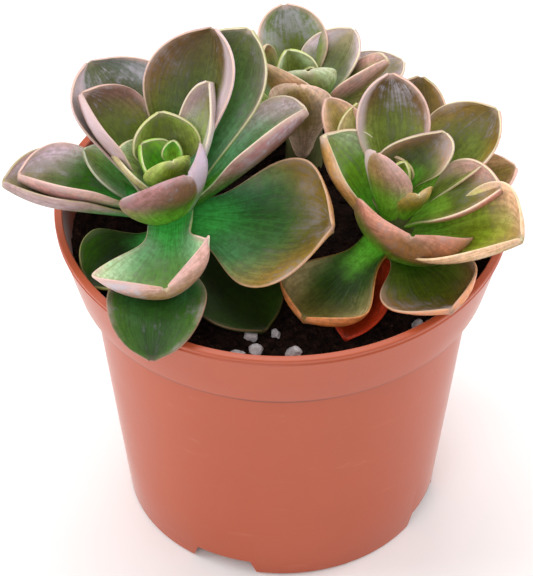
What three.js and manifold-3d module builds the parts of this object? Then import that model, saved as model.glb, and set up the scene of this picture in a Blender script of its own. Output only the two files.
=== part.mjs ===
// Melaco echeveria in a round nursery pot: three rosettes of thick, cupped, spoon-shaped leaves, each on its own
// short stem in the peat. Millimetres, +Z up. The pot stands on Z = 0 and the middle of the whole plant's outline,
// seen from above, is the origin, so the pot's own axis lies a little to one side.
import * as THREE from "three";
import { mergeVertices } from "three/addons/utils/BufferGeometryUtils.js";
import Module from "manifold-3d";

const wasm = await Module();
wasm.setup();

// Driving dimensions
const POT_AXIS = [5.3, -2.6]; // where the pot stands, from the middle of the outline
const CLEARANCE = 0.35; // gap that pieces which touch keep to each other

const RIM_RADIUS = 60; // outside of the lip
const POT_HEIGHT = 95.4;
const BAND_FOOT_Z = 76; // lower edge of the rim band
const BAND_FOOT_RADIUS = 54.9;
const WALL_TOP_RADIUS = 51.2; // wall just under the band
const BASE_RADIUS = 41.8;
const WALL = 1.6;
const LIP_WIDTH = 2.2;
const BEAD_DROP = 2; // the fine bead runs this far under the lip
const BEAD = 0.35;
const EDGE = 0.5; // rounding of the moulded edges
const PLATE_Z = 4.6; // underside of the bottom plate
const POT_SIDES = 40;

const NOTCH_COUNT = 4;
const NOTCH_FIRST = 68; // degrees
const NOTCH_HEIGHT = 4.2;
const NOTCH_TOP = 15.2;
const NOTCH_FOOT = 19.2;
const DRAIN_COUNT = 6;
const DRAIN_RADIUS = 4;
const DRAIN_CIRCLE = 25;
const DRAIN_SIDES = 10;

const SOIL_Z = 85.5; // peat level at the wall
const SOIL_MOUND = 1.5; // rise of the peat towards the middle
const CRUMB = 0.7; // height of the peat's lumps
const SOIL_SIDES = 36;

const STEM_RADIUS = 5;
const STEM_FOOT_Z = 68;
const STEM_SIDES = 14;
const ROOT_OUT = 2; // how far from the stem's axis a leaf starts

const deg = THREE.MathUtils.degToRad;
const smooth = (x) => THREE.MathUtils.smoothstep(x, 0, 1);

// Each rosette: where its stem stands from the pot's axis, how high its heart reaches, and its leaves from the heart
// outwards. A leaf's row: height on the stem, azimuth, rise, length, width, cup, curl and roll. Lengths in millimetres,
// angles in degrees; azimuth 0 points along +X and 270 along -Y. Where a leaf differs from a plain spoon, its row ends
// with what differs: sway bends it sideways, lean cups its left side more than its right, hem above 1 keeps the middle
// flat and turns up the margins, and shape names another outline.
const ROSETTES = {
  rosette_left: {
    stem: [-29, -8],
    heart: 112,
    leaves: [
      [113, 80, 70, 8, 6, 60, 10, 0],
      [110, 152, 58, 12, 15, 55, 15, 0],
      [108, 275, 72, 17, 15, 60, 25, 20],
      [109, 103, 60, 18.5, 20, 50, 10, 0],
      [101, 288, 62, 28, 34, 72, 40, 17, { lean: -15, shape: "oval" }],
      [108, 186, 48, 18, 18, 45, 10, -10, { lean: -10 }],
      [106, 30, 60, 29, 16, 65, 20, -5, { sway: 18, lean: -20 }],
      [106, 151, 45, 34, 29, 55, 15, 8, { lean: 18 }],
      [101, 127, 38, 43, 37, 45, 10, 10],
      [104, 73, 52, 45, 30, 60, 5, -15, { sway: -3, lean: -10 }],
      [101, 57, 45, 50, 30, 50, 10, 0],
      [103, 4, 33, 40, 28, 60, 10, -20, { sway: 15, lean: -10 }],
      [100, 334, 16, 46, 42, 50, 20, 12, { lean: -40, hem: 2.5 }],
      [102.5, 269, 10, 40, 40, 64, 62, 13, { lean: -16, shape: "paddle" }],
      [103, 183, 18, 39, 28, 60, 15, 10],
      [101, 184, 17, 43, 28, 60, 15, 5],
      [99, 158, 34, 27, 16, 40, 10, 0],
      [94, 222, -6, 26, 26, 30, 5, 0],
      [93, 265, 0, 51, 26, 20, -60, 0],
      [95, 306, -8, 40, 26, 25, 5, 0],
      [98, 100, 5, 38, 26, 45, 10, 0],
      [96, 75, 0, 30, 24, 45, 10, 0],
      [97, 140, -5, 30, 20, 45, 10, 0],
    ],
  },
  rosette_right: {
    stem: [29.5, -11],
    heart: 109,
    leaves: [
      [109, 60, 75, 8, 6, 60, 10, 0],
      [106, 100, 58, 11, 12, 60, 10, 0],
      [106, 75, 55, 19, 20, 50, 10, 0, { sway: -30 }],
      [103, 222, 78, 25, 17, 60, 20, 0, { lean: 18, shape: "oval" }],
      [103, 312, 62, 13, 16, 60, 20, -20],
      [100, 93, 53, 37, 22, 55, 5, 0],
      [101, 35, 35, 37, 26, 45, 10, 0],
      [97, 78, 38, 40, 20, 45, 10, 0],
      [96, 20, 22, 34, 23, 45, 10, 0],
      [101, 346, 32, 30, 24, 60, 10, 0, { lean: -20 }],
      [96, 313, 26, 39, 36, 60, 15, 10, { sway: 12, lean: -12 }],
      [90, 278, 49, 36, 39, 64, 42, -30, { lean: 14, shape: "oval" }],
      [95, 164, 60, 34, 27, 65, 28, 0],
      [99, 125, 37, 36, 14, 45, 10, 0],
      [99, 110, 38, 32, 22, 45, 10, 0],
      [99, 233, -6, 39, 30, 75, 45, 0, { hem: 2.5, shape: "paddle" }],
      [93, 248, -7, 34, 15, 30, 5, 0],
      [93, 290, 14, 38, 28, 50, 25, 5, { lean: -25, hem: 2 }],
      [97, 60, 0, 36, 24, 45, 10, 0],
      [96, 20, -4, 24, 20, 40, 10, 0],
    ],
  },
  rosette_back: {
    stem: [6, 29],
    heart: 108,
    leaves: [
      [108, 60, 75, 8, 6, 60, 10, 0],
      [105, 120, 62, 15, 14, 55, 10, 0],
      [105, 280, 80, 17, 20, 60, 20, 0],
      [102, 200, 66, 24, 28, 60, 10, 10],
      [101.5, 101, 33, 31, 21, 50, 5, 0],
      [103, 55, 34, 25, 20, 50, 10, -10],
      [91, 262, 72, 34, 19, 50, 15, 0],
      [101, 2, 46, 28, 20, 50, 15, -25],
      [100, 30, 17, 30, 20, 45, 10, 0],
      [100, 90, 0, 34, 20, 45, 10, 0],
      [100, 135, -3, 34, 24, 45, 10, 0],
      [99, 160, 0, 34, 24, 45, 10, 0],
      [99, 62, 0, 27, 18, 45, 10, 0],
    ],
  },
};

const ARCH = 6; // how far every midrib bows, degrees
const CURL_FROM = 0.6; // share of the length where the tip starts to turn up
const THINNEST = 0.7; // margin
const STATIONS = [0, 0.2, 0.38, 0.55, 0.7, 0.85, 0.96, 1];
const SHORT_STATIONS = [0, 0.28, 0.54, 0.76, 0.93, 1];
const SHORT_LEAF = 22;
const ACROSS = [-1, -0.55, 0, 0.55, 1];

// Outlines: where a leaf is widest and where its neck ends, as shares of its length, the width of its root as a share of
// the greatest, how slowly it widens, and how full its end is. A spoon's widest place depends on its length.
const OUTLINES = {
  spoon: { neck: 0.08, root: 0.3, slow: 1.25, full: 2.4 },
  oval: { widest: 0.5, neck: 0, root: 0.35, slow: 1, full: 2.2 },
  paddle: { widest: 0.76, neck: 0.25, root: 0.3, slow: 1, full: 2.6 },
};

// Half width at a share s of the length, as a share of the greatest: a narrow root, a broad end and a point.
function outline(s, length, shape) {
  const { neck, root, slow, full } = OUTLINES[shape];
  const widest = OUTLINES[shape].widest ?? 0.5 + 0.16 * THREE.MathUtils.clamp((length - 20) / 20, 0, 1);
  if (s < widest) {
    return root + (1 - root) * Math.pow(smooth((s - neck) / (widest - neck)), slow);
  }
  const x = (s - widest) / (1 - widest);
  const point = 1 - 0.5 * Math.exp(-Math.pow((1 - x) / 0.07, 2));
  return Math.pow(Math.max(0, 1 - Math.pow(x, full)), 0.75) * point;
}

// A leaf's cross-section bends evenly with hem 1, and mostly at the margin above it. Gives how far sideways and how far
// up a share t of the half width reaches, and the slope of the face there.
function crossSection(t, bend, hem) {
  const steps = 40;
  const reach = Math.abs(t);
  let aside = 0;
  let rise = 0;
  for (let i = 0; i < steps; i += 1) {
    const slope = bend * Math.pow(((i + 0.5) / steps) * reach, hem);
    aside += (Math.cos(slope) * reach) / steps;
    rise += (Math.sin(slope) * reach) / steps;
  }
  return { aside: aside * Math.sign(t), rise, slope: bend * Math.pow(reach, hem) * Math.sign(t) };
}

// Thickness of the blade at s and at t, which runs from -1 to 1 across it, with a keel under the tip.
function thickness(s, t, length) {
  const root = 1.7 + 0.034 * length;
  const body = root * (1 - 0.45 * s) * (0.25 + 0.75 * (1 - Math.pow(Math.abs(t), 2.2)));
  const keel = 0.5 * Math.exp(-Math.pow(t / 0.2, 2)) * smooth((s - 0.55) / 0.35);
  return Math.max(THINNEST, body + keel);
}

// The midrib in its own upright plane: distance out, height and slope at each share of the length. The chord from
// root to tip has the slope that the row calls rise.
function midrib(length, rise, curl) {
  const steps = 48;
  const slope = (s) => -deg(ARCH) * s + deg(curl) * smooth((s - CURL_FROM) / (1 - CURL_FROM));
  const points = [[0, 0]];
  for (let i = 0; i < steps; i += 1) {
    const a = slope((i + 0.5) / steps);
    const [x, z] = points[i];
    points.push([x + (Math.cos(a) * length) / steps, z + (Math.sin(a) * length) / steps]);
  }
  const [endX, endZ] = points[steps];
  const turn = deg(rise) - Math.atan2(endZ, endX);
  return (s) => {
    const i = Math.min(steps - 1, Math.floor(s * steps));
    const f = s * steps - i;
    const x = points[i][0] * (1 - f) + points[i + 1][0] * f;
    const z = points[i][1] * (1 - f) + points[i + 1][1] * f;
    return {
      out: x * Math.cos(turn) - z * Math.sin(turn),
      up: x * Math.sin(turn) + z * Math.cos(turn),
      slope: slope(s) + turn,
    };
  };
}

// One leaf as a closed grid of points: the upper face, and under it the lower face one thickness away.
function leafGeometry(stem, row) {
  const [height, azimuth, rise, length, width, cup, curl, roll, differs = {}] = row;
  const { sway = 0, lean = 0, hem = 1, shape = "spoon" } = differs;
  const out = new THREE.Vector3(Math.cos(deg(azimuth)), Math.sin(deg(azimuth)), 0);
  const left = new THREE.Vector3(-out.y, out.x, 0);
  const up = new THREE.Vector3(0, 0, 1);
  const root = new THREE.Vector3(stem[0], stem[1], height).addScaledVector(out, ROOT_OUT);
  const along = midrib(length, rise, curl);
  const stations = length < SHORT_LEAF ? SHORT_STATIONS : STATIONS;
  const upper = [];
  const lower = [];
  for (const s of stations) {
    const m = along(s);
    const face = up.clone().multiplyScalar(Math.cos(m.slope)).addScaledVector(out, -Math.sin(m.slope));
    const side = left.clone().multiplyScalar(Math.cos(deg(roll))).addScaledVector(face, Math.sin(deg(roll)));
    const normal = face.clone().multiplyScalar(Math.cos(deg(roll))).addScaledVector(left, -Math.sin(deg(roll)));
    const centre = root.clone().addScaledVector(out, m.out).addScaledVector(up, m.up);
    centre.addScaledVector(left, length * Math.sin(deg(sway)) * s * s);
    const half = Math.max(0.5, (width / 2) * outline(s, length, shape));
    for (const t of ACROSS) {
      const bend = deg(cup + lean * Math.sign(t)) * smooth(s / 0.55);
      const section = crossSection(t, bend, hem);
      const p = centre.clone().addScaledVector(side, half * section.aside).addScaledVector(normal, half * section.rise);
      const n = normal.clone().multiplyScalar(Math.cos(section.slope)).addScaledVector(side, -Math.sin(section.slope));
      upper.push(p);
      lower.push(p.clone().addScaledVector(n, -thickness(s, t, length)));
    }
  }
  const points = [...upper, ...lower];
  const columns = ACROSS.length;
  const rows = stations.length;
  const index = [];
  const quad = (a, b, c, d) => index.push(a, b, c, a, c, d);
  const low = upper.length;
  for (let i = 0; i < rows - 1; i += 1) {
    for (let j = 0; j < columns - 1; j += 1) {
      const a = i * columns + j;
      const b = a + columns;
      quad(a, b, b + 1, a + 1);
      // the lower face has the same diagonal, so the two faces never cross
      index.push(low + a, low + b + 1, low + b, low + a, low + a + 1, low + b + 1);
    }
    const first = i * columns;
    const last = first + columns - 1;
    quad(first, low + first, low + first + columns, first + columns);
    quad(last, last + columns, low + last + columns, low + last);
  }
  for (let j = 0; j < columns - 1; j += 1) {
    const end = (rows - 1) * columns + j;
    quad(j, j + 1, low + j + 1, low + j);
    quad(end, low + end, low + end + 1, end + 1);
  }
  const geometry = new THREE.BufferGeometry();
  geometry.setAttribute("position", new THREE.Float32BufferAttribute(points.flatMap((p) => p.toArray()), 3));
  geometry.setIndex(index);
  return geometry;
}

// Joins and cuts
function solid(geometry) {
  const bare = geometry.clone();
  bare.deleteAttribute("normal");
  bare.deleteAttribute("uv");
  const merged = mergeVertices(bare, 1e-4);
  return new wasm.Manifold(
    new wasm.Mesh({
      numProp: 3,
      vertProperties: new Float32Array(merged.attributes.position.array),
      triVerts: new Uint32Array(merged.index.array),
    }),
  );
}

function geometryOf(manifold) {
  const mesh = manifold.getMesh();
  const geometry = new THREE.BufferGeometry();
  geometry.setAttribute("position", new THREE.BufferAttribute(new Float32Array(mesh.vertProperties), 3));
  geometry.setIndex(new THREE.BufferAttribute(new Uint32Array(mesh.triVerts), 1));
  geometry.computeVertexNormals();
  return geometry;
}

function turned(profile, sides) {
  const points = profile.map(([r, z]) => new THREE.Vector2(r, z));
  return new THREE.LatheGeometry(points, sides).rotateX(Math.PI / 2);
}

function upright(radius, from, to, sides, x = 0, y = 0) {
  return new THREE.CylinderGeometry(radius, radius, to - from, sides)
    .rotateX(Math.PI / 2)
    .translate(x, y, (from + to) / 2);
}

// Pot: a tapered wall on a foot ring, a bottom plate with drain holes, and a wider band under the lip
function innerRadius(z) {
  if (z > BAND_FOOT_Z) {
    const share = (z - BAND_FOOT_Z) / (POT_HEIGHT - BAND_FOOT_Z);
    return BAND_FOOT_RADIUS - WALL + share * (RIM_RADIUS - BAND_FOOT_RADIUS);
  }
  return BASE_RADIUS - WALL + (z / BAND_FOOT_Z) * (WALL_TOP_RADIUS - BASE_RADIUS);
}

function potSolid() {
  const bandSlope = (RIM_RADIUS - BAND_FOOT_RADIUS) / (POT_HEIGHT - BAND_FOOT_Z);
  const bandOuter = (z) => BAND_FOOT_RADIUS + bandSlope * (z - BAND_FOOT_Z);
  const beadZ = POT_HEIGHT - BEAD_DROP;
  const ringInner = BASE_RADIUS - WALL;
  const profile = [
    [0, PLATE_Z],
    [ringInner, PLATE_Z],
    [ringInner, 0],
    [BASE_RADIUS - EDGE, 0],
    [BASE_RADIUS, EDGE],
    [WALL_TOP_RADIUS, BAND_FOOT_Z],
    [BAND_FOOT_RADIUS - EDGE, BAND_FOOT_Z],
    [BAND_FOOT_RADIUS, BAND_FOOT_Z + EDGE],
    [bandOuter(beadZ - BEAD), beadZ - BEAD],
    [bandOuter(beadZ) + BEAD, beadZ],
    [bandOuter(beadZ + BEAD), beadZ + BEAD],
    [RIM_RADIUS, POT_HEIGHT - EDGE],
    [RIM_RADIUS - EDGE, POT_HEIGHT],
    [RIM_RADIUS - LIP_WIDTH, POT_HEIGHT],
    [innerRadius(POT_HEIGHT - LIP_WIDTH), POT_HEIGHT - LIP_WIDTH],
    [innerRadius(BAND_FOOT_Z + WALL), BAND_FOOT_Z + WALL],
    [innerRadius(BAND_FOOT_Z), BAND_FOOT_Z - WALL],
    [innerRadius(PLATE_Z + WALL), PLATE_Z + WALL],
    [0, PLATE_Z + WALL],
  ];
  let pot = solid(turned(profile, POT_SIDES));
  for (let i = 0; i < NOTCH_COUNT; i += 1) {
    pot = pot.subtract(solid(notchGeometry(NOTCH_FIRST + (360 / NOTCH_COUNT) * i)));
  }
  for (let i = 0; i < DRAIN_COUNT; i += 1) {
    const a = (2 * Math.PI * i) / DRAIN_COUNT;
    const x = DRAIN_CIRCLE * Math.cos(a);
    const y = DRAIN_CIRCLE * Math.sin(a);
    pot = pot.subtract(solid(upright(DRAIN_RADIUS, PLATE_Z - 1, PLATE_Z + WALL + 1, DRAIN_SIDES, x, y)));
  }
  return pot;
}

// A notch in the foot ring: a slanted-sided gap cut outwards through the ring at the given azimuth
function notchGeometry(azimuth) {
  const outlineShape = new THREE.Shape([
    new THREE.Vector2(-NOTCH_FOOT / 2, -1),
    new THREE.Vector2(NOTCH_FOOT / 2, -1),
    new THREE.Vector2(NOTCH_TOP / 2, NOTCH_HEIGHT),
    new THREE.Vector2(-NOTCH_TOP / 2, NOTCH_HEIGHT),
  ]);
  return new THREE.ExtrudeGeometry(outlineShape, { depth: 12, bevelEnabled: false })
    .rotateX(Math.PI / 2)
    .rotateZ(Math.PI / 2)
    .translate(BASE_RADIUS - 8, 0, 0)
    .rotateZ(deg(azimuth));
}

// Peat: fills the pot, with a lumpy top that rises to the middle
function crumbs(x, y) {
  const coarse = Math.sin(0.31 * x + 1.3) * Math.cos(0.27 * y - 0.4) + 0.6 * Math.sin(0.52 * y + 0.23 * x);
  return CRUMB * (coarse + 0.5 * Math.sin(0.9 * x - 0.7 * y));
}

function soilSolid() {
  const rim = innerRadius(SOIL_Z) - CLEARANCE;
  const topRings = [1, 0.86, 0.7, 0.54, 0.38, 0.2];
  const profile = [
    [0, PLATE_Z + WALL + CLEARANCE],
    [innerRadius(PLATE_Z + WALL) - CLEARANCE, PLATE_Z + WALL + CLEARANCE],
    [innerRadius(BAND_FOOT_Z) - WALL * 2, BAND_FOOT_Z - WALL],
    [innerRadius(BAND_FOOT_Z + WALL) - WALL, BAND_FOOT_Z + WALL],
    ...topRings.map((share) => [rim * share, SOIL_Z]),
    [0, SOIL_Z],
  ];
  const geometry = turned(profile, SOIL_SIDES);
  const position = geometry.attributes.position;
  for (let i = 0; i < position.count; i += 1) {
    if (position.getZ(i) > SOIL_Z - 0.01) {
      const x = Math.round(position.getX(i) * 1000) / 1000;
      const y = Math.round(position.getY(i) * 1000) / 1000;
      const share = Math.hypot(x, y) / rim;
      position.setZ(i, SOIL_Z + SOIL_MOUND * (1 - share) + crumbs(x, y));
    }
  }
  let soil = solid(geometry);
  for (const { stem } of Object.values(ROSETTES)) {
    const hole = upright(STEM_RADIUS + CLEARANCE, STEM_FOOT_Z - CLEARANCE, SOIL_Z + 20, STEM_SIDES, ...stem);
    soil = soil.subtract(solid(hole));
  }
  for (const grain of PERLITE) {
    soil = soil.subtract(solid(grainGeometry(grain, CLEARANCE)));
  }
  return soil;
}

// White perlite grains bedded in the peat: where each lies from the pot's axis, its size, and its turn
const PERLITE = [
  [-11.5, -47, 3.7, 20],
  [-6.8, -46, 3.9, 70],
  [-8, -41, 3.4, 130],
  [2.7, -47.6, 3.9, 200],
  [-1.7, -40, 2.6, 310],
  [35.2, -37.2, 3.2, 40],
  [49.5, -17, 3, 150],
  [19, -47, 2.6, 260],
];

function grainGeometry([x, y, size, turn], grow = 0) {
  const radius = size / 2 + grow;
  const level = SOIL_Z + SOIL_MOUND * (1 - Math.hypot(x, y) / RIM_RADIUS) + crumbs(x, y);
  return new THREE.IcosahedronGeometry(radius, 1)
    .rotateX(deg(turn))
    .scale(1.1, 0.9, 0.85)
    .rotateZ(deg(turn))
    .translate(x, y, level + size * 0.12);
}

// Rosette: a short stem with a rounded top, and every leaf rooted in it
function rosetteSolid({ stem, heart, leaves }) {
  const [x, y] = stem;
  const profile = [
    [0, STEM_FOOT_Z],
    [STEM_RADIUS, STEM_FOOT_Z],
    [STEM_RADIUS, heart - 8],
    [STEM_RADIUS * 0.75, heart - 3],
    [0, heart - 1],
  ];
  const core = solid(turned(profile, STEM_SIDES).translate(x, y, 0));
  const joined = wasm.Manifold.union([core, ...leaves.map((row) => solid(leafGeometry(stem, row)))]);
  // the outer surface alone: a hollow that the join seals between two leaves is filled
  return joined.decompose().reduce((a, b) => (b.volume() > a.volume() ? b : a));
}

// Colours as seen in soft daylight
const TERRACOTTA = new THREE.MeshStandardMaterial({ color: 0xc16c54, roughness: 0.42, metalness: 0 });
const PEAT = new THREE.MeshStandardMaterial({ color: 0x2b1d18, roughness: 0.95, metalness: 0 });
const PERLITE_WHITE = new THREE.MeshStandardMaterial({ color: 0xc9c6c8, roughness: 0.85, metalness: 0 });
const LEAF_GREENS = {
  rosette_left: new THREE.MeshStandardMaterial({ color: 0x5d7050, roughness: 0.45, metalness: 0 }),
  rosette_right: new THREE.MeshStandardMaterial({ color: 0x7a7a4c, roughness: 0.45, metalness: 0 }),
  rosette_back: new THREE.MeshStandardMaterial({ color: 0x7d7a6a, roughness: 0.5, metalness: 0 }),
};

const plant = new THREE.Group();
plant.name = "potted_echeveria";
plant.position.set(POT_AXIS[0], POT_AXIS[1], 0);

function add(name, geometry, material) {
  const mesh = new THREE.Mesh(geometry, material);
  mesh.name = name;
  plant.add(mesh);
}

add("pot", geometryOf(potSolid()), TERRACOTTA);
add("soil", geometryOf(soilSolid()), PEAT);
PERLITE.forEach((grain, i) => add(`perlite_${i + 1}`, geometryOf(solid(grainGeometry(grain))), PERLITE_WHITE.clone()));
for (const [name, rosette] of Object.entries(ROSETTES)) {
  add(name, geometryOf(rosetteSolid(rosette)), LEAF_GREENS[name]);
}

export default plant;
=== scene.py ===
"""Potted echeveria: three rosettes of thick, cupped, waxy leaves in a terracotta-coloured pot of peat."""

import math
import random

import bpy
from mathutils import Euler, Matrix, Vector, noise


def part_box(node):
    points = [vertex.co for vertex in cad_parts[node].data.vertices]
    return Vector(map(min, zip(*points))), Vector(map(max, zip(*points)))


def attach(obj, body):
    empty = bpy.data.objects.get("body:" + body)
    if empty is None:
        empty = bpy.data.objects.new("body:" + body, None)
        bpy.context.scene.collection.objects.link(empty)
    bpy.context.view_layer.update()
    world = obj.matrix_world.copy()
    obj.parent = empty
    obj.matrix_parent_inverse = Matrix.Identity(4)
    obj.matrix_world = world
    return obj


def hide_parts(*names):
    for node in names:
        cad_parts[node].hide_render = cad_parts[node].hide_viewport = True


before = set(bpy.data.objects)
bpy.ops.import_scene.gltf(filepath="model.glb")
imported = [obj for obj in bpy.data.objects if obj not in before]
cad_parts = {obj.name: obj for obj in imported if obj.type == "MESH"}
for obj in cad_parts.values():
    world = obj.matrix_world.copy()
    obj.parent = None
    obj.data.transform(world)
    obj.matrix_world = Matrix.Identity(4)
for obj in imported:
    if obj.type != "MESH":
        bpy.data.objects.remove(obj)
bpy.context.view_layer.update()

MM = 0.001
POT_LOW, POT_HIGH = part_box("pot")
POT_X = (POT_LOW[0] + POT_HIGH[0]) / 2
POT_Y = (POT_LOW[1] + POT_HIGH[1]) / 2


def at(x, y, z):
    """A place given in millimetres from the pot's axis and the surface it stands on."""
    return Vector((POT_X + x * MM, POT_Y + y * MM, z * MM))


# Camera, at the photograph's angle
CAMERA_DISTANCE = 1200
CAMERA_RISE = math.radians(41.94)
CAMERA_AIM = (-4.105, 0, 66.394)
CAMERA_LENS = 280.4

camera_data = bpy.data.cameras.new("camera")
camera_data.lens = CAMERA_LENS
camera_data.sensor_width = 36
camera = bpy.data.objects.new("camera", camera_data)
bpy.context.collection.objects.link(camera)
camera.location = at(
    CAMERA_AIM[0],
    CAMERA_AIM[1] - CAMERA_DISTANCE * math.cos(CAMERA_RISE),
    CAMERA_AIM[2] + CAMERA_DISTANCE * math.sin(CAMERA_RISE),
)
camera.rotation_euler = (math.pi / 2 - CAMERA_RISE, 0, 0)
bpy.context.scene.camera = camera
bpy.context.scene.view_settings.view_transform = "Standard"


# Colours are written as a screen shows them, from 0 to 1, and turned into light here
def light(swatch):
    return tuple(c / 12.92 if c <= 0.04045 else ((c + 0.055) / 1.055) ** 2.4 for c in swatch)


# Working by hand: everything is deselected before a new piece starts
def only(piece):
    bpy.ops.object.select_all(action="DESELECT")
    piece.select_set(True)
    bpy.context.view_layer.objects.active = piece


def started(name):
    piece = bpy.context.object
    piece.name = name
    piece.data.name = name
    return piece


def finished_with(piece, kind, **settings):
    """Adds a modifier and applies it."""
    only(piece)
    modifier = piece.modifiers.new(kind.lower(), kind)
    for key, value in settings.items():
        setattr(modifier, key, value)
    bpy.ops.object.modifier_apply(modifier=modifier.name)


def settled(piece):
    """Puts the piece's place into its mesh."""
    only(piece)
    bpy.ops.object.transform_apply(location=True, rotation=True, scale=True)


def joined(pieces, name):
    bpy.ops.object.select_all(action="DESELECT")
    for piece in pieces:
        piece.select_set(True)
    bpy.context.view_layer.objects.active = pieces[0]
    bpy.ops.object.join()
    return started(name)


def copied(piece):
    twin = piece.copy()
    twin.data = piece.data.copy()
    bpy.context.collection.objects.link(twin)
    return twin


# Materials
COLOURS = ("root_colour", "middle_colour", "end_colour", "back_colour", "margin_colour")


class Finish:
    """A material, and short ways to add the nodes that drive its shader."""

    def __init__(self, name, **plain):
        self.material = bpy.data.materials.new(name)
        self.material.use_nodes = True
        self.tree = self.material.node_tree
        self.shader = self.tree.nodes["Principled BSDF"]
        for socket, value in plain.items():
            self.shader.inputs[socket.replace("_", " ")].default_value = value

    def node(self, kind, **settings):
        made = self.tree.nodes.new(kind)
        for key, value in settings.items():
            setattr(made, key, value)
        return made

    def put(self, target, value):
        if hasattr(value, "is_output"):
            self.tree.links.new(value, target)
        else:
            target.default_value = value

    def place(self):
        return self.node("ShaderNodeTexCoord").outputs["Object"]

    def stretched(self, source, scale):
        mapping = self.node("ShaderNodeMapping")
        self.put(mapping.inputs["Vector"], source)
        mapping.inputs["Scale"].default_value = scale
        return mapping.outputs["Vector"]

    def attribute(self, name, output="Fac"):
        return self.node("ShaderNodeAttribute", attribute_name=name).outputs[output]

    def speckle(self, source, scale, detail=3, rough=0.5, seed=None):
        made = self.node("ShaderNodeTexNoise", noise_dimensions="3D" if seed is None else "4D")
        self.put(made.inputs["Vector"], source)
        made.inputs["Scale"].default_value = scale
        made.inputs["Detail"].default_value = detail
        made.inputs["Roughness"].default_value = rough
        if seed is not None:
            self.put(made.inputs["W"], seed)
        return made.outputs["Fac"]

    def cells(self, source, scale):
        made = self.node("ShaderNodeTexVoronoi")
        self.put(made.inputs["Vector"], source)
        made.inputs["Scale"].default_value = scale
        return made.outputs["Distance"]

    def math(self, operation, a, b=0.0, c=0.0):
        made = self.node("ShaderNodeMath", operation=operation)
        for target, value in zip(made.inputs, (a, b, c)):
            self.put(target, value)
        return made.outputs[0]

    def times(self, first, *others):
        for other in others:
            first = self.math("MULTIPLY", first, other)
        return first

    def axis(self, source, letter):
        """One of a vector's three numbers."""
        made = self.node("ShaderNodeSeparateXYZ")
        self.put(made.inputs["Vector"], source)
        return made.outputs[letter]

    def span(self, value, low, high, to_low=0.0, to_high=1.0):
        made = self.node("ShaderNodeMapRange", interpolation_type="SMOOTHSTEP")
        for target, given in zip(made.inputs, (value, low, high, to_low, to_high)):
            self.put(target, given)
        return made.outputs["Result"]

    def mix(self, share, a, b, blend="MIX"):
        made = self.node("ShaderNodeMix", data_type="RGBA", blend_type=blend)
        self.put(made.inputs["Factor"], share)
        for socket, value in ((made.inputs[6], a), (made.inputs[7], b)):
            self.put(socket, value if hasattr(value, "is_output") else (*light(value), 1))
        return made.outputs[2]

    def tinted(self, colour, tint):
        return self.mix(1.0, colour, tint, "MULTIPLY")

    def bump(self, height, distance, strength):
        made = self.node("ShaderNodeBump")
        self.put(made.inputs["Height"], height)
        made.inputs["Distance"].default_value = distance
        made.inputs["Strength"].default_value = strength
        self.put(self.shader.inputs["Normal"], made.outputs["Normal"])

    def colour(self, value):
        self.put(self.shader.inputs["Base Color"], value)

    def roughness(self, value):
        self.put(self.shader.inputs["Roughness"], value)


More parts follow.
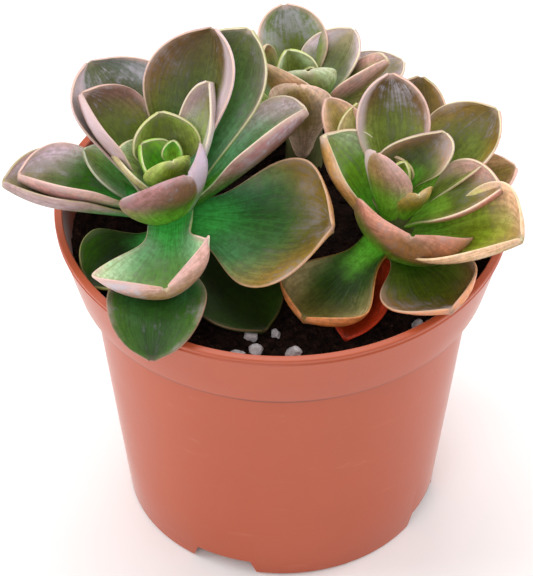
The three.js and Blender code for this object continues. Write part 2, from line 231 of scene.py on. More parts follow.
def leaf_flesh():
    """Waxy leaf: green root, olive and mauve end, powdery bloom in patches, a frosted side and a pale line on
    the margin, both partly painted highlight.
    """
    f = Finish("leaf_flesh", IOR=1.4, Specular_IOR_Level=0.4)
    blade = f.node("ShaderNodeUVMap", uv_map="blade").outputs["UV"]
    seed = f.attribute("leaf_seed")
    share = f.attribute("leaf_share")
    under = f.attribute("leaf_under")
    margin = f.attribute("leaf_margin")
    waxy = f.attribute("leaf_bloom")
    paint = {name: f.attribute(name, "Color") for name in (*COLOURS, "back_root_colour")}
    place = f.place()
    cloudy = f.speckle(place, 95, 5, 0.55, seed)
    fine = f.speckle(place, 650, 4, 0.65, seed)
    streaks = f.speckle(f.stretched(blade, (30, 2.6, 1)), 1.0, 4, 0.6, seed)
    side = f.math("MULTIPLY_ADD", f.axis(blade, "X"), 2, -1)
    aside = f.math("ABSOLUTE", side)
    # how far along the leaf the colour reads: moved about a little, green longest on the midrib
    reach = f.math("MULTIPLY_ADD", f.math("SUBTRACT", cloudy, 0.5), 0.4, share)
    reach = f.math("MULTIPLY_ADD", f.math("POWER", aside, 1.6), 0.34, f.math("SUBTRACT", reach, 0.1))
    top = f.mix(f.span(reach, 0.16, 0.5), paint["root_colour"], paint["middle_colour"])
    top = f.mix(f.span(reach, 0.5, 0.92), top, paint["end_colour"])
    back = f.mix(f.span(reach, 0.25, 0.75), paint["back_root_colour"], paint["back_colour"])
    body = f.mix(under, top, back)
    grain = f.times(f.span(f.math("MULTIPLY_ADD", streaks, 0.9, fine), 0.75, 1.15), 0.8)
    body = f.mix(grain, f.tinted(body, (1.12, 1.15, 1.12)), f.tinted(body, (0.84, 0.84, 0.70)))
    # the middle is darker and purer than the sides, which carry the powder
    deep = f.times(f.span(aside, 0.85, 0.15), f.span(share, 0.25, 0.6, 0.0, 0.9))
    body = f.mix(deep, body, f.tinted(body, (0.74, 0.74, 0.46)))
    outer = f.times(f.span(aside, 0.45, 0.95), f.span(share, 0.2, 0.6))
    body = f.mix(outer, body, f.tinted(body, (1.12, 1.09, 1.10)))
    patches = f.span(f.math("MULTIPLY_ADD", f.math("ADD", fine, streaks), 0.5, cloudy), 0.98, 1.24)
    bloom = f.times(patches, waxy, f.span(reach, 0.3, 1.1, 0.0, 0.9))
    body = f.mix(bloom, body, (0.80, 0.78, 0.83))
    # one side of some leaves is painted paler, partly as frost and partly as a painted highlight where that
    # side faces the light: the larger the number, the nearer to the midrib it starts
    frost_and_highlight = f.span(f.times(side, f.attribute("leaf_frost_and_highlight")), 0.5, 0.72, 0.0, 0.75)
    frost_and_highlight = f.times(frost_and_highlight, f.span(f.math("ADD", reach, patches), 0.2, 0.9, 0.25, 1.0))
    body = f.mix(frost_and_highlight, body, f.mix(0.4, (0.80, 0.76, 0.84), paint["margin_colour"]))
    # the powdery band inside the margin, then the thin pale line on its upper edge, partly a pale margin and
    # partly a painted highlight where the edge catches the light
    band = f.times(f.span(margin, 2.2, 0.5), f.span(share, 0.25, 0.6, 0.0, 0.75))
    band = f.times(band, f.math("MULTIPLY_ADD", waxy, 1.1, 0.1), f.span(cloudy, 0.32, 0.6))
    body = f.mix(band, body, f.mix(0.3, (0.80, 0.66, 0.66), paint["margin_colour"]))
    pale_edge_and_highlight = f.times(f.span(margin, 0.3, 0.06), f.span(share, 0.0, 0.3, 0.2, 0.8))
    pale_edge_and_highlight = f.times(pale_edge_and_highlight, f.span(under, 0.8, 0.4), f.span(cloudy, 0.3, 0.6, 0.5, 1.0))
    body = f.mix(pale_edge_and_highlight, body, paint["margin_colour"])
    f.colour(body)
    f.roughness(f.math("MULTIPLY_ADD", fine, 0.22, 0.3))
    pitted = f.math("MULTIPLY_ADD", fine, 0.4, streaks)
    f.bump(f.math("MULTIPLY_ADD", cloudy, 3.0, pitted), 0.00035, 0.7)
    f.shader.inputs["Subsurface Weight"].default_value = 0.15
    f.shader.inputs["Subsurface Radius"].default_value = (0.0016, 0.0024, 0.0008)
    f.shader.inputs["Subsurface Scale"].default_value = 1.0
    return f.material


def stem_bark():
    f = Finish("stem_bark", Roughness=0.6)
    place = f.place()
    f.colour(f.mix(f.speckle(place, 300, 4), (0.30, 0.38, 0.18), (0.45, 0.40, 0.26)))
    f.bump(f.speckle(place, 700, 4), 0.0003, 0.6)
    return f.material


# Heights in metres over which the line of dust and painted shade under the band comes in and goes out
SHADE_AND_DUST_STARTS = (0.0718, 0.0724)
SHADE_AND_DUST_ENDS = (0.0767, 0.0764)


def moulded_plastic():
    """Terracotta-coloured plastic: soft sheen, faint mottling, scuffs, and a line of dust and painted shade
    under the band.
    """
    f = Finish("moulded_plastic", IOR=1.48, Sheen_Weight=0.5, Sheen_Roughness=0.2)
    place = f.place()
    mottled = f.speckle(place, 55, 4, 0.55)
    fine = f.speckle(place, 900, 3, 0.6)
    body = f.mix(mottled, (0.67, 0.30, 0.175), (0.71, 0.33, 0.205))
    scuffs = f.span(f.speckle(f.stretched(place, (60, 60, 260)), 1.0, 5, 0.65), 0.60, 0.78)
    body = f.mix(f.times(scuffs, 0.2), body, (0.80, 0.52, 0.42))
    # painted shade, with some dust, darkens the corner under the band and the band's rounded foot
    height = f.axis(place, "Z")
    shade_and_dust = f.times(f.span(height, *SHADE_AND_DUST_STARTS), f.span(height, *SHADE_AND_DUST_ENDS))
    body = f.mix(f.times(shade_and_dust, 0.65), body, (0.36, 0.18, 0.13))
    f.colour(body)
    f.roughness(f.math("MULTIPLY_ADD", mottled, 0.14, 0.32))
    f.bump(f.math("MULTIPLY_ADD", mottled, 2.0, fine), 0.00006, 0.5)
    return f.material


def crumbly_peat():
    f = Finish("crumbly_peat", Roughness=0.95, Specular_IOR_Level=0.1)
    place = f.place()
    lumps = f.speckle(place, 420, 5, 0.7)
    body = f.mix(f.span(lumps, 0.35, 0.7), (0.07, 0.045, 0.035), (0.19, 0.12, 0.095))
    body = f.mix(f.span(f.speckle(place, 900, 3), 0.62, 0.8), body, (0.33, 0.22, 0.17))
    f.colour(body)
    f.bump(f.math("MULTIPLY_ADD", f.cells(place, 800), -0.5, lumps), 0.0012, 0.9)
    return f.material


def porous_perlite():
    f = Finish("porous_perlite", Roughness=0.85)
    place = f.place()
    pores = f.cells(place, 1500)
    body = f.mix(f.span(f.speckle(place, 500, 4), 0.3, 0.75), (0.80, 0.78, 0.79), (0.60, 0.57, 0.57))
    body = f.mix(f.times(f.span(pores, 0.25, 0.05), 0.5), body, (0.35, 0.30, 0.28))
    f.colour(body)
    f.bump(pores, 0.0003, 0.8)
    return f.material


LEAF_FLESH = leaf_flesh()
STEM_BARK = stem_bark()
MOULDED_PLASTIC = moulded_plastic()
CRUMBLY_PEAT = crumbly_peat()
POROUS_PERLITE = porous_perlite()

# Leaf colours by name
SWATCHES = {
    "lemon": (0.70, 0.80, 0.32),
    "lime": (0.55, 0.75, 0.26),
    "bright": (0.42, 0.73, 0.22),
    "emerald": (0.26, 0.64, 0.30),
    "teal": (0.50, 0.74, 0.58),
    "jade": (0.42, 0.60, 0.44),
    "fern": (0.26, 0.46, 0.14),
    "forest": (0.18, 0.31, 0.04),
    "dark": (0.12, 0.20, 0.03),
    "thyme": (0.34, 0.40, 0.14),
    "moss": (0.42, 0.47, 0.18),
    "olive": (0.50, 0.56, 0.26),
    "pear": (0.64, 0.70, 0.36),
    "sand": (0.71, 0.66, 0.45),
    "bronze": (0.47, 0.37, 0.14),
    "brown": (0.42, 0.31, 0.19),
    "umber": (0.44, 0.32, 0.29),
    "clay": (0.58, 0.44, 0.36),
    "slate": (0.44, 0.46, 0.36),
    "mauve": (0.60, 0.49, 0.52),
    "plum": (0.58, 0.38, 0.36),
    "lilac": (0.76, 0.68, 0.75),
    "pink": (0.76, 0.59, 0.58),
    "rose": (0.70, 0.45, 0.43),
    "peach": (0.82, 0.66, 0.55),
    "gold": (0.79, 0.66, 0.38),
    "honey": (0.68, 0.50, 0.30),
    "orange": (0.76, 0.47, 0.26),
    "ember": (0.68, 0.20, 0.08),
    "mist": (0.71, 0.77, 0.65),
    "cream": (0.92, 0.87, 0.72),
    "blush": (0.92, 0.77, 0.70),
    "dune": (0.62, 0.55, 0.40),
    "copper": (0.68, 0.46, 0.40),
    "steel": (0.42, 0.44, 0.43),
    "wine": (0.60, 0.42, 0.44),
    "pine": (0.23, 0.43, 0.26),
}

# The leaves, from the heart outwards, as in the solid model: height on the stem, azimuth, rise, length,
# width, cup, curl and roll in millimetres and degrees; then the colours of the face at its root, middle and
# end, of the back, and of the margin, and how much bloom lies on it. What differs from a plain spoon comes
# last: sway bends the leaf sideways, lean cups its left side more, hem above 1 turns up only the margins,
# and shape names another outline. foot is the colour at the back's root, lime where none is given. The key
# for frost and highlight paints one side of the face paler, partly as powder and partly as a painted
# highlight where that side faces the light: its sign says which side, and a larger number starts nearer the
# midrib.
ROSETTES = {
    "rosette_left": {
        "stem": (-29, -8),
        "heart": 112,
        "leaves": [
            (113, 80, 70, 8, 6, 60, 10, 0, "lime lime bright moss cream", 0.1),
            (110, 152, 58, 12, 15, 55, 15, 0, "bright bright lime lime cream", 0.2),
            (108, 275, 72, 17, 15, 60, 25, 20, "bright moss pear pear cream", 0.2),
            (109, 103, 60, 18.5, 20, 50, 10, 0, "bright moss olive pear cream", 0.3),
            (101, 288, 62, 28, 34, 72, 40, 17, "bright moss olive wine lilac", 0.7,
             dict(lean=-15, shape="oval", frost_and_highlight=4)),
            (108, 186, 48, 18, 18, 45, 10, -10, "teal mist mist sand cream", 0.5, dict(lean=-10)),
            (106, 30, 60, 29, 16, 65, 20, -5, "teal mist mauve lilac cream", 0.6,
             dict(sway=18, lean=-20, frost_and_highlight=-2)),
            (106, 151, 45, 34, 29, 55, 15, 8, "teal moss umber wine blush", 0.7,
             dict(foot="orange", lean=18, frost_and_highlight=1)),
            (101, 127, 38, 43, 37, 45, 10, 10, "emerald slate steel lilac blush", 0.8, dict(frost_and_highlight=1.4)),
            (104, 73, 52, 45, 30, 60, 5, -15, "emerald thyme brown lilac blush", 0.4,
             dict(sway=-3, lean=-10, frost_and_highlight=-1)),
            (101, 57, 45, 50, 30, 50, 10, 0, "emerald jade slate olive cream", 0.5),
            (103, 4, 33, 40, 28, 60, 10, -20, "bright teal lilac wine cream", 0.9,
             dict(sway=15, lean=-10, foot="fern")),
            (100, 334, 16, 46, 42, 50, 20, 12, "emerald pine bronze honey peach", 0.25,
             dict(lean=-40, hem=2.5, foot="orange")),
            (102.5, 269, 10, 40, 40, 64, 62, 13, "emerald jade mist pink blush", 0.9,
             dict(lean=-16, shape="paddle")),
            (103, 183, 18, 39, 28, 60, 15, 10, "emerald fern lilac pink blush", 0.9, dict(foot="emerald")),
            (101, 184, 17, 43, 28, 60, 15, 5, "teal slate lilac mauve sand", 0.8, dict(foot="emerald")),
            (99, 158, 34, 27, 16, 40, 10, 0, "bright teal mist slate mist", 0.6),
            (94, 222, -6, 26, 26, 30, 5, 0, "emerald dark forest moss sand", 0.05),
            (93, 265, 0, 51, 26, 20, -60, 0, "emerald pine forest plum clay", 0.3),
            (95, 306, -8, 40, 26, 25, 5, 0, "dark dark dark dark brown", 0),
            (98, 100, 5, 38, 26, 45, 10, 0, "emerald moss mauve pink blush", 0.5),
            (96, 75, 0, 30, 24, 45, 10, 0, "forest moss mauve olive sand", 0.4),
            (97, 140, -5, 30, 20, 45, 10, 0, "forest moss mauve olive sand", 0.4),
        ],
    },
    "rosette_right": {
        "stem": (29.5, -11),
        "heart": 109,
        "leaves": [
            (109, 60, 75, 8, 6, 60, 10, 0, "lime lime pear pear cream", 0.1),
            (106, 100, 58, 11, 12, 60, 10, 0, "lime moss sand sand blush", 0.2),
            (106, 75, 55, 19, 20, 50, 10, 0, "bright thyme clay mauve cream", 0.4, dict(sway=-30)),
            (103, 222, 78, 25, 17, 60, 20, 0, "lime olive mauve pink blush", 0.6,
             dict(lean=18, shape="oval", frost_and_highlight=-2)),
            (103, 312, 62, 13, 16, 60, 20, -20, "lime moss olive gold cream", 0.3),
            (100, 93, 53, 37, 22, 55, 5, 0, "lime olive brown rose blush", 0.7, dict(frost_and_highlight=0.8)),
            (101, 35, 35, 37, 26, 45, 10, 0, "lime olive bronze pink cream", 0.4),
            (97, 78, 38, 40, 20, 45, 10, 0, "moss bronze bronze olive blush", 0.4),
            (96, 20, 22, 34, 23, 45, 10, 0, "moss olive peach pink blush", 0.5),
            (101, 346, 32, 30, 24, 60, 10, 0, "lime moss pink rose cream", 0.6, dict(lean=-20)),
            (96, 313, 26, 39, 36, 60, 15, 10, "lime lemon peach peach cream", 0.4,
             dict(foot="pear", sway=12, lean=-12)),
            (90, 278, 49, 36, 39, 64, 42, -30, "bright moss mauve copper peach", 0.3,
             dict(lean=14, shape="oval")),
            (95, 164, 60, 34, 27, 65, 28, 0, "bright lime mist honey cream", 0.7, dict(foot="gold")),
            (99, 125, 37, 36, 14, 45, 10, 0, "moss sand peach pink blush", 0.4),
            (99, 110, 38, 32, 22, 45, 10, 0, "moss olive sand olive cream", 0.3),
            (99, 233, -6, 39, 30, 75, 45, 0, "bright forest dune orange bronze", 0.05,
             dict(foot="orange", hem=2.5, shape="paddle")),
            (93, 248, -7, 34, 15, 30, 5, 0, "ember ember ember ember ember", 0.0, dict(foot="ember")),
            (93, 290, 14, 38, 28, 50, 25, 5, "forest thyme brown orange peach", 0.3,
             dict(foot="orange", lean=-25, hem=2)),
            (97, 60, 0, 36, 24, 45, 10, 0, "moss olive mauve pink cream", 0.4),
            (96, 20, -4, 24, 20, 40, 10, 0, "forest moss olive olive cream", 0.3),
        ],
    },
    "rosette_back": {
        "stem": (6, 29),
        "heart": 108,
        "leaves": [
            (108, 60, 75, 8, 6, 60, 10, 0, "lime moss olive olive cream", 0.1),
            (105, 120, 62, 15, 14, 55, 10, 0, "lime olive mist pear cream", 0.2),
            (105, 280, 80, 17, 20, 60, 20, 0, "moss brown sand mist cream", 0.3),
            (102, 200, 66, 24, 28, 60, 10, 10, "moss olive brown peach cream", 0.3, dict(foot="olive")),
            (101.5, 101, 33, 31, 21, 50, 5, 0, "lime moss thyme pink blush", 0.6),
            (103, 55, 34, 25, 20, 50, 10, -10, "teal slate lilac mauve cream", 0.7),
            (91, 262, 72, 34, 19, 50, 15, 0, "moss pink pink blush blush", 0.4, dict(foot="blush")),
            (101, 2, 46, 28, 20, 50, 15, -25, "lime olive pink pink cream", 0.4),
            (100, 30, 17, 30, 20, 45, 10, 0, "moss sand lilac mauve cream", 0.7),
            (100, 90, 0, 34, 20, 45, 10, 0, "lime olive mauve pink cream", 0.5),
            (100, 135, -3, 34, 24, 45, 10, 0, "lime slate mauve pink cream", 0.5),
            (99, 160, 0, 34, 24, 45, 10, 0, "moss olive mauve olive cream", 0.5),
            (99, 62, 0, 27, 18, 45, 10, 0, "moss olive mauve olive cream", 0.4),
        ],
    },
}

# How a leaf is shaped, in millimetres, degrees and shares of its length or half width
ARCH = 6
CURL_FROM = 0.6
CUPPED_FROM = 0.55
ROOT_OUT = 2
ROOT_THICKNESS = 1.7
THICKER_PER_MM = 0.034
THINNEST = 0.7
END_THINNING = 0.45
MARGIN_THICKNESS = 0.25
KEEL = 0.5
KEEL_REACH = 0.2
KEEL_FROM = 0.55
KEEL_GROWS_OVER = 0.35
KEEL_ROOM = 1.2
POINT_REACH = 0.07
NARROWEST_HALF = 0.5
SHORT_LEAF = 20
WIDEST_ON_SHORT = 0.5
WIDEST_MOVES_BY = 0.16
SEED_STEP = 1.7
ALONG = (
    0, 0.06, 0.12, 0.19, 0.26, 0.33, 0.40, 0.47, 0.54, 0.61,
    0.68, 0.74, 0.80, 0.85, 0.89, 0.925, 0.955, 0.98, 1,
)
ACROSS = (-1, -0.97, -0.88, -0.74, -0.56, -0.36, -0.17, 0, 0.17, 0.36, 0.56, 0.74, 0.88, 0.97, 1)


def smooth(x):
    x = min(1.0, max(0.0, x))
    return x * x * (3 - 2 * x)


OUTLINES = {
    "spoon": dict(widest=None, neck=0.08, root=0.3, slow=1.25, full=2.4),
    "oval": dict(widest=0.5, neck=0, root=0.35, slow=1, full=2.2),
    "paddle": dict(widest=0.76, neck=0.25, root=0.3, slow=1, full=2.6),
}


def outline(s, length, widest, neck, root, slow, full):
    """Half width at a share s of the length, as a share of the greatest: narrow root, broad end, a point."""
    longer = min(1.0, max(0.0, (length - SHORT_LEAF) / SHORT_LEAF))
    widest = widest or WIDEST_ON_SHORT + WIDEST_MOVES_BY * longer
    if s < widest:
        return root + (1 - root) * smooth((s - neck) / (widest - neck)) ** slow
    x = (s - widest) / (1 - widest)
    point = 1 - 0.5 * math.exp(-(((1 - x) / POINT_REACH) ** 2))
    return max(0.0, 1 - x**full) ** 0.75 * point


def cross_section(t, bend, hem):
    """How far sideways and how far up a share t of the half width reaches."""
    steps = 24
    slopes = [bend * ((i + 0.5) / steps * abs(t)) ** hem for i in range(steps)]
    aside = sum(math.cos(slope) for slope in slopes) / steps * t
    rise = sum(math.sin(slope) for slope in slopes) / steps * abs(t)
    return aside, rise


def root_thickness(length):
    return ROOT_THICKNESS + THICKER_PER_MM * length


def thickness(s, t, length):
    """Thickest along the midrib and at the root, with a low keel under the end."""
    across = MARGIN_THICKNESS + (1 - MARGIN_THICKNESS) * (1 - abs(t) ** 2.2)
    body = root_thickness(length) * (1 - END_THINNING * s) * across
    keel = KEEL * math.exp(-((t / KEEL_REACH) ** 2)) * smooth((s - KEEL_FROM) / KEEL_GROWS_OVER)
    return max(THINNEST, body + keel)


def midrib(length, rise, curl):
    """Distance out, height and slope along the midrib, in its own upright plane."""
    steps = 96
    points = [(0.0, 0.0)]

    def slope(s):
        return -math.radians(ARCH) * s + math.radians(curl) * smooth((s - CURL_FROM) / (1 - CURL_FROM))

    for i in range(steps):
        a = slope((i + 0.5) / steps)
        x, z = points[-1]
        points.append((x + math.cos(a) * length / steps, z + math.sin(a) * length / steps))
    turn = math.radians(rise) - math.atan2(points[-1][1], points[-1][0])

    def reach(s):
        i = min(steps - 1, int(s * steps))
        f = s * steps - i
        x = points[i][0] * (1 - f) + points[i + 1][0] * f
        z = points[i][1] * (1 - f) + points[i + 1][1] * f
        return (
            x * math.cos(turn) - z * math.sin(turn),
            x * math.sin(turn) + z * math.cos(turn),
            slope(s) + turn,
        )

    return reach


def hold(mesh, name, kind, values):
    """Writes a number or a colour for each point of a mesh."""
    held = mesh.attributes.new(name, "FLOAT" if kind == "value" else "FLOAT_COLOR", "POINT")
    held.data.foreach_set(kind, values)


def leaf(name, stem, row, number):
    """One leaf: a flat grid bent to the blade's face, thickened to its back, and smoothed."""
    height, azimuth, rise, length, width, cup, curl, roll, colours, bloom = row[:10]
    differs = row[10] if len(row) > 10 else {}
    sway, lean, hem = (differs.get(key, usual) for key, usual in (("sway", 0), ("lean", 0), ("hem", 1)))
    shape = OUTLINES[differs.get("shape", "spoon")]
    columns, rows = len(ACROSS), len(ALONG)
    bpy.ops.object.select_all(action="DESELECT")
    bpy.ops.mesh.primitive_grid_add(x_subdivisions=columns - 1, y_subdivisions=rows - 1, size=2)
    blade = started(name)
    mesh = blade.data
    out = Vector((math.cos(math.radians(azimuth)), math.sin(math.radians(azimuth)), 0))
    left = Vector((-out.y, out.x, 0))
    up = Vector((0, 0, 1))
    root = at(stem[0], stem[1], height) + out * ROOT_OUT * MM
    reach = midrib(length, rise, curl)
    turned = math.radians(roll)
    thick = blade.vertex_groups.new(name="thickness")
    fullest = root_thickness(length) * KEEL_ROOM
    spots, shares, margins = [], [], []
    for vertex in mesh.vertices:
        i, j = vertex.index % columns, vertex.index // columns
        t, s = -ACROSS[i], ALONG[j]
        spots.append((t, s))
        away, rose, slope = reach(s)
        face = up * math.cos(slope) - out * math.sin(slope)
        side = left * math.cos(turned) + face * math.sin(turned)
        normal = face * math.cos(turned) - left * math.sin(turned)
        centre = root + (out * away + up * rose + left * (length * math.sin(math.radians(sway)) * s * s)) * MM
        half = max(NARROWEST_HALF, width / 2 * outline(s, length, **shape))
        bend = math.radians(cup + math.copysign(lean, t)) * smooth(s / CUPPED_FROM)
        aside, lift = cross_section(t, bend, hem)
        vertex.co = centre + (side * aside + normal * lift) * (half * MM)
        thick.add([vertex.index], thickness(s, t, length) / fullest, "REPLACE")
        shares.append(s)
        margins.append(min((1 - abs(t)) * half, (1 - s) * length))
    mesh.uv_layers[0].name = "blade"
    for loop in mesh.loops:
        t, s = spots[loop.vertex_index]
        mesh.uv_layers[0].data[loop.index].uv = (t / 2 + 0.5, s)
    hold(mesh, "leaf_share", "value", shares)
    hold(mesh, "leaf_margin", "value", margins)
    upper = len(mesh.vertices)
    solid = dict(thickness=fullest * MM, offset=-1, vertex_group="thickness", use_even_offset=False)
    finished_with(blade, "SOLIDIFY", **solid)
    hold(mesh, "leaf_under", "value", [0 if vertex.index < upper else 1 for vertex in mesh.vertices])
    finished_with(blade, "SUBSURF", levels=1, render_levels=1)
    count = len(mesh.vertices)
    hold(mesh, "leaf_seed", "value", [number * SEED_STEP] * count)
    hold(mesh, "leaf_bloom", "value", [bloom] * count)
    hold(mesh, "leaf_frost_and_highlight", "value", [differs.get("frost_and_highlight", 0)] * count)
    paints = [light(SWATCHES[word]) for word in colours.split()]
    named = dict(zip(COLOURS, paints))
    named["back_root_colour"] = light(SWATCHES[differs.get("foot", "lime")])
    for key, paint in named.items():
        hold(mesh, key, "color", [*paint, 1.0] * count)
    mesh.materials.append(LEAF_FLESH)
    only(blade)
    bpy.ops.object.shade_smooth()
    return blade


STEM_RADIUS = 5
STEM_FOOT_Z = 68


def stem_under(name, stem, heart):
    """The short stem, drawn up from a circle in rings that narrow under the heart."""
    bpy.ops.object.select_all(action="DESELECT")
    place = at(stem[0], stem[1], STEM_FOOT_Z)
    bpy.ops.mesh.primitive_circle_add(vertices=32, radius=STEM_RADIUS * MM, fill_type="NGON", location=place)
    stalk = started(name)
    bpy.ops.object.mode_set(mode="EDIT")
    bpy.ops.mesh.select_all(action="SELECT")
    level = STEM_FOOT_Z
    for top, scale in ((heart - 18, 1.0), (heart - 8, 0.98), (heart - 4, 0.8), (heart - 2, 0.55)):
        bpy.ops.mesh.extrude_region_move(TRANSFORM_OT_translate={"value": (0, 0, (top - level) * MM)})
        bpy.ops.transform.resize(value=(scale, scale, 1))
        level = top
    bpy.ops.mesh.select_all(action="SELECT")
    bpy.ops.mesh.normals_make_consistent(inside=False)
    bpy.ops.object.mode_set(mode="OBJECT")
    settled(stalk)
    bpy.ops.object.shade_smooth_by_angle(angle=math.radians(50))
    stalk.data.materials.append(STEM_BARK)
    return stalk


def rosette(node, stem, heart, leaves):
    parts = [leaf(f"{node}_leaf_{i}", stem, row, i + 1) for i, row in enumerate(leaves)]
    parts.append(stem_under(f"{node}_stem", stem, heart))
    whole = joined(parts, f"{node}_leaves")
    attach(whole, "root")
    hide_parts(node)


for node, facts in ROSETTES.items():
    rosette(node, facts["stem"], facts["heart"], facts["leaves"])

# Pot
RIM_RADIUS = 60
POT_HEIGHT = 95.4
BAND_FOOT_Z = 76
BAND_FOOT_RADIUS = 54.9
WALL_TOP_RADIUS = 51.2
BASE_RADIUS = 41.8
WALL = 1.6
LIP_WIDTH = 2.2
BEAD_DROP = 2
BEAD = 0.35
EDGE = 0.5
PLATE_Z = 4.6
NOTCH_FIRST = 68
NOTCH_DEPTH = 12
NOTCH_INSET = 2
NOTCH_HEIGHT = 4.2
NOTCH_TOP = 15.2
NOTCH_FOOT = 19.2
DRAIN_RADIUS = 4
DRAIN_CIRCLE = 25
BAND_SLOPE = (RIM_RADIUS - BAND_FOOT_RADIUS) / (POT_HEIGHT - BAND_FOOT_Z)


def inner_radius(z):
    if z > BAND_FOOT_Z:
        return BAND_FOOT_RADIUS - WALL + BAND_SLOPE * (z - BAND_FOOT_Z)
    return BASE_RADIUS - WALL + z / BAND_FOOT_Z * (WALL_TOP_RADIUS - BASE_RADIUS)


def ring_path():
    """Radius and height of each ring of the wall: from the plate under the foot, up, over the lip and in."""
    bead = POT_HEIGHT - BEAD_DROP
    ring = BASE_RADIUS - WALL

    def band(z):
        return BAND_FOOT_RADIUS + BAND_SLOPE * (z - BAND_FOOT_Z)

    return [
        (ring, PLATE_Z), (ring, 0.2), (ring + 0.2, 0), (BASE_RADIUS - EDGE, 0), (BASE_RADIUS - 0.12, 0.12),
        (BASE_RADIUS, EDGE), (BASE_RADIUS + 2.3, 19), (BASE_RADIUS + 4.7, 38), (BASE_RADIUS + 7.05, 57),
        (WALL_TOP_RADIUS - 0.05, BAND_FOOT_Z - 0.6), (WALL_TOP_RADIUS + 0.5, BAND_FOOT_Z),
        (BAND_FOOT_RADIUS - EDGE, BAND_FOOT_Z), (BAND_FOOT_RADIUS - 0.1, BAND_FOOT_Z + 0.14),
        (BAND_FOOT_RADIUS + 0.05, BAND_FOOT_Z + EDGE), (band(84), 84), (band(bead - 0.9), bead - 0.9),
        (band(bead - BEAD), bead - BEAD), (band(bead) + BEAD, bead), (band(bead + BEAD), bead + BEAD),
        (RIM_RADIUS - 0.1, POT_HEIGHT - EDGE - 0.3), (RIM_RADIUS, POT_HEIGHT - EDGE),
        (RIM_RADIUS - 0.15, POT_HEIGHT - 0.15), (RIM_RADIUS - EDGE, POT_HEIGHT),
        (RIM_RADIUS - LIP_WIDTH + 0.3, POT_HEIGHT), (RIM_RADIUS - LIP_WIDTH, POT_HEIGHT - 0.3),
        (inner_radius(POT_HEIGHT - LIP_WIDTH), POT_HEIGHT - LIP_WIDTH),
        (inner_radius(86), 86), (inner_radius(BAND_FOOT_Z + WALL), BAND_FOOT_Z + WALL),
        (inner_radius(BAND_FOOT_Z), BAND_FOOT_Z - WALL), (inner_radius(40), 40),
        (inner_radius(PLATE_Z + WALL), PLATE_Z + WALL),
    ]


def notch(azimuth):
    """A slanted-sided block that stands across the foot ring."""
    bpy.ops.object.select_all(action="DESELECT")
    bpy.ops.mesh.primitive_cube_add(size=1)
    block = started("notch_block")
    for vertex in block.data.vertices:
        high = vertex.co.z > 0
        half = (NOTCH_TOP if high else NOTCH_FOOT) / 2
        z = NOTCH_HEIGHT if high else -1
        x = BASE_RADIUS - NOTCH_INSET + vertex.co.x * NOTCH_DEPTH
        vertex.co = Vector((x, math.copysign(half, vertex.co.y), z)) * MM
    block.data.transform(Matrix.Rotation(math.radians(azimuth), 4, "Z"))
    block.data.transform(Matrix.Translation(at(0, 0, 0)))
    return block


def drain(azimuth):
    bpy.ops.object.select_all(action="DESELECT")
    a = math.radians(azimuth)
    spot = at(DRAIN_CIRCLE * math.cos(a), DRAIN_CIRCLE * math.sin(a), PLATE_Z + WALL / 2)
    bpy.ops.mesh.primitive_cylinder_add(
        vertices=32, radius=DRAIN_RADIUS * MM, depth=(WALL + 2) * MM, location=spot
    )
    return started("drain_peg")


def pot_shell():
    """The pot: a disc for the plate, drawn ring by ring down to the foot, up the wall and over the lip."""
    (radius, level), *rings = ring_path()
    bpy.ops.object.select_all(action="DESELECT")
    bpy.ops.mesh.primitive_circle_add(
        vertices=144, radius=radius * MM, fill_type="NGON", location=at(0, 0, level)
    )
    pot = started("pot_shell")
    bpy.ops.object.mode_set(mode="EDIT")
    bpy.ops.mesh.select_all(action="SELECT")
    for ring_radius, z in rings:
        bpy.ops.mesh.extrude_region_move(TRANSFORM_OT_translate={"value": (0, 0, (z - level) * MM)})
        grown = ring_radius / radius
        bpy.ops.transform.resize(value=(grown, grown, 1), center_override=at(0, 0, z))
        radius, level = ring_radius, z
    bpy.ops.mesh.select_all(action="SELECT")
    bpy.ops.mesh.normals_make_consistent(inside=False)
    bpy.ops.object.mode_set(mode="OBJECT")
    settled(pot)
    tools = [notch(NOTCH_FIRST + 90 * i) for i in range(4)] + [drain(60 * i) for i in range(6)]
    for tool in tools:
        finished_with(pot, "BOOLEAN", operation="DIFFERENCE", solver="EXACT", object=tool)
        bpy.data.objects.remove(tool, do_unlink=True)
    only(pot)
    bpy.ops.object.shade_smooth_by_angle(angle=math.radians(28))
    pot.data.materials.clear()
    pot.data.materials.append(MOULDED_PLASTIC)
    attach(pot, "root")
    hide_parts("pot")


pot_shell()

# Peat
SOIL_Z = 85.5
SOIL_MOUND = 1.5
CRUMB = 0.7
CLEARANCE = 0.35
CRUST = 1.5
CRUMB_COUNT = 900
CRUMB_KINDS = 6
CRUMB_SIZES = (0.45, 0.6, 0.8, 1.0, 1.3)
SOIL_RADIUS = inner_radius(SOIL_Z) - CLEARANCE


def soil_level(x, y):
    share = math.hypot(x, y) / SOIL_RADIUS
    coarse = math.sin(0.31 * x + 1.3) * math.cos(0.27 * y - 0.4) + 0.6 * math.sin(0.52 * y + 0.23 * x)
    return SOIL_Z + SOIL_MOUND * (1 - share) + CRUMB * (coarse + 0.5 * math.sin(0.9 * x - 0.7 * y))


def lump(number):
    """A crumb: an icosphere pulled out of round by noise."""
    bpy.ops.object.select_all(action="DESELECT")
    bpy.ops.mesh.primitive_ico_sphere_add(subdivisions=2, radius=1)
    crumb = started(f"crumb_{number}")
    for vertex in crumb.data.vertices:
        vertex.co *= 1 + 0.45 * noise.noise(vertex.co * 1.3 + Vector((number * 7.1, 0, 0)))
    crumb.data.materials.append(CRUMBLY_PEAT)
    return crumb


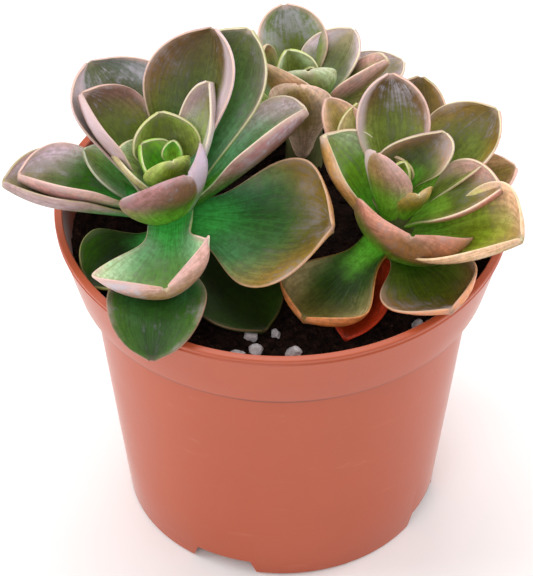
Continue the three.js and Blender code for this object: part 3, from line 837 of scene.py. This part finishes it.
def peat():
    draw = random.Random(11)
    bpy.ops.object.select_all(action="DESELECT")
    bpy.ops.mesh.primitive_grid_add(x_subdivisions=120, y_subdivisions=120, size=2)
    bed = started("peat_bed")
    for vertex in bed.data.vertices:
        # the square grid drawn out to a round
        u, v = vertex.co.x, vertex.co.y
        x = SOIL_RADIUS * u * math.sqrt(1 - v * v / 2)
        y = SOIL_RADIUS * v * math.sqrt(1 - u * u / 2)
        rough = 0.8 * noise.noise(Vector((x, y, 0)) * 0.8) + 0.4 * noise.noise(Vector((x, y, 4)) * 2.1)
        vertex.co = at(x, y, soil_level(x, y) + rough)
    finished_with(bed, "SOLIDIFY", thickness=CRUST * MM, offset=-1)
    only(bed)
    bpy.ops.object.shade_smooth()
    bed.data.materials.append(CRUMBLY_PEAT)
    kinds = [lump(i) for i in range(CRUMB_KINDS)]
    crumbs = []
    for _ in range(CRUMB_COUNT):
        a = draw.uniform(0, 2 * math.pi)
        r = (SOIL_RADIUS - 1.5) * math.sqrt(draw.uniform(0.12, 1))
        x, y = r * math.cos(a), r * math.sin(a)
        scale = draw.choice(CRUMB_SIZES) * draw.uniform(0.8, 1.2)
        crumb = copied(draw.choice(kinds))
        turn = Euler([draw.uniform(0, 6) for _ in range(3)])
        size = Vector((scale, scale * draw.uniform(0.6, 1), scale * draw.uniform(0.5, 0.9))) * MM
        place = at(x, y, soil_level(x, y) + 0.1 * scale)
        crumb.matrix_world = Matrix.LocRotScale(place, turn, size)
        crumbs.append(crumb)
    for kind in kinds:
        bpy.data.objects.remove(kind, do_unlink=True)
    whole = joined([bed, *crumbs], "peat")
    settled(whole)
    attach(whole, "root")
    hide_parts("soil")


peat()

# Perlite
GRAINS = 8
CHIPS = 9
for number in range(1, GRAINS + 1):
    low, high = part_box(f"perlite_{number}")
    middle = (Vector(low) + Vector(high)) / 2
    reach = (Vector(high) - Vector(low)) / 2
    bpy.ops.object.select_all(action="DESELECT")
    bpy.ops.mesh.primitive_ico_sphere_add(subdivisions=5, radius=1)
    grain = started(f"perlite_grain_{number}")
    draw = random.Random(number)
    chips = []
    for _ in range(CHIPS):
        facing = Vector([draw.gauss(0, 1) for _ in range(3)]).normalized()
        chips.append((facing, draw.uniform(0.62, 0.85)))
    for vertex in grain.data.vertices:
        away = vertex.co.normalized()
        spot = away * (1 + 0.12 * noise.noise(away * 1.4 + Vector((number * 3.3, 0, 0))))
        # broken off along a few planes, so that the grain is angular with worn edges
        for facing, far in chips:
            spot -= facing * max(0.0, spot.dot(facing) - far) * 0.9
        spot *= 1.16 + 0.05 * noise.noise(away * 5)
        vertex.co = middle + Vector((spot.x * reach.x, spot.y * reach.y, spot.z * reach.z))
    grain.data.materials.append(POROUS_PERLITE)
    only(grain)
    bpy.ops.object.shade_smooth()
    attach(grain, "root")
    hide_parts(f"perlite_{number}")

# Floor and light
bpy.ops.object.select_all(action="DESELECT")
bpy.ops.mesh.primitive_plane_add(size=6, location=(0, 0, -0.0005))
floor = started("floor")
paper = Finish("pale_paper", Roughness=0.9)
paper.shader.inputs["Base Color"].default_value = (*light((0.99, 0.99, 0.99)), 1)
floor.data.materials.append(paper.material)

world = bpy.data.worlds.new("studio")
bpy.context.scene.world = world
world.use_nodes = True
world.node_tree.nodes["Background"].inputs["Color"].default_value = (1, 1, 1, 1)
world.node_tree.nodes["Background"].inputs["Strength"].default_value = 0.5


def softbox(name, place, aim, size, power):
    lamp = bpy.data.lights.new(name, "AREA")
    lamp.shape = "SQUARE"
    lamp.size = size
    lamp.energy = power
    box = bpy.data.objects.new(name, lamp)
    bpy.context.collection.objects.link(box)
    box.location = place
    box.rotation_euler = (Vector(aim) - Vector(place)).to_track_quat("-Z", "Y").to_euler()


softbox("softbox_left", (-1.0, 0.1, 0.75), (0, 0, 0.1), 0.8, 7)
softbox("softbox_right", (1.0, 0.3, 0.6), (0, 0, 0.1), 0.7, 6.5)
softbox("softbox_above", (-0.1, 0.5, 1.3), (0, 0, 0.1), 0.8, 7)
softbox("softbox_front", (-0.3, -1.3, 1.1), (0, 0, 0.08), 1.0, 9)
